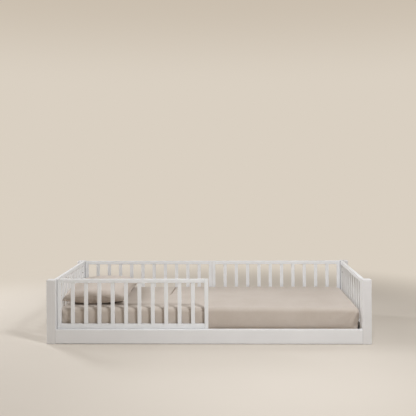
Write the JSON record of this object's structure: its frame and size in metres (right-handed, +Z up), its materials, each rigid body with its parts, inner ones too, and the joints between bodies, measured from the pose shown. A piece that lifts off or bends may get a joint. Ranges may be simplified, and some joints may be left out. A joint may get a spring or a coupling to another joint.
{
  "type": "toddler bed",
  "caption": "Low white wooden floor bed with square posts, a plank apron, slatted guards round a half-open front, a slatted base, a sheeted mattress and a pillow.",
  "frame": {"origin": "on the floor under the middle of the bed", "axes": "+X along the length to the foot end, +Y to the back, +Z up; the open front is at -Y"},
  "size_m": [2.13, 0.93, 0.42],
  "materials": {
    "white_paint": "satin white paint on solid wood",
    "bare_wood": "planed bare pine",
    "zinc_steel": "bright zinc plating",
    "felt": "pressed wool felt",
    "mattress_ticking": "woven ticking over foam",
    "sheet_cotton": "plain weave cotton, stretched",
    "pillow_cotton": "plain weave cotton pillowcase"
  },
  "bodies": {
    "frame": {"apron_bolts": "zinc_steel", "apron_dowels": "bare_wood", "apron_front": "white_paint", "apron_left": "white_paint", "apron_rear": "white_paint", "apron_right": "white_paint", "barrel_nuts": "zinc_steel", "bed_slat_01": "bare_wood", "bed_slat_02": "bare_wood", "bed_slat_03": "bare_wood", "bed_slat_04": "bare_wood", "bed_slat_05": "bare_wood", "bed_slat_06": "bare_wood", "bed_slat_07": "bare_wood", "bed_slat_08": "bare_wood", "bed_slat_09": "bare_wood", "bed_slat_10": "bare_wood", "bed_slat_11": "bare_wood", "bed_slat_12": "bare_wood", "bed_slat_13": "bare_wood", "bed_slat_screws": "zinc_steel", "glides": "felt", "guard_dowels": "bare_wood", "guard_front_bottom_rail": "white_paint", "guard_front_slats": "white_paint", "guard_front_stile_a": "white_paint", "guard_front_stile_b": "white_paint", "guard_front_top_rail": "white_paint", "guard_left_bottom_rail": "white_paint", "guard_left_slats": "white_paint", "guard_left_stile_a": "white_paint", "guard_left_stile_b": "white_paint", "guard_left_top_rail": "white_paint", "guard_rear_left_bottom_rail": "white_paint", "guard_rear_left_slats": "white_paint", "guard_rear_left_stile_a": "white_paint", "guard_rear_left_stile_b": "white_paint", "guard_rear_left_top_rail": "white_paint", "guard_rear_right_bottom_rail": "white_paint", "guard_rear_right_slats": "white_paint", "guard_rear_right_stile_a": "white_paint", "guard_rear_right_stile_b": "white_paint", "guard_rear_right_top_rail": "white_paint", "guard_right_bottom_rail": "white_paint", "guard_right_slats": "white_paint", "guard_right_stile_a": "white_paint", "guard_right_stile_b": "white_paint", "guard_right_top_rail": "white_paint", "guard_screws": "zinc_steel", "ledger_front": "bare_wood", "ledger_rear": "bare_wood", "ledger_screws": "zinc_steel", "post_front_left": "white_paint", "post_front_right": "white_paint", "post_rear_left": "white_paint", "post_rear_right": "white_paint"},
    "mattress": {"mattress": "mattress_ticking", "fitted_sheet": "sheet_cotton"},
    "pillow": {"pillow": "pillow_cotton"}
  },
  "joints": [
    {"name": "mattress_lift", "type": "slide", "parent": "frame", "child": "mattress", "axis": [0, 0, 1], "range_m": [0, 0.36]},
    {"name": "pillow_lift", "type": "slide", "parent": "mattress", "child": "pillow", "axis": [0, 0, 1], "range_m": [0, 0.3]}
  ]
}
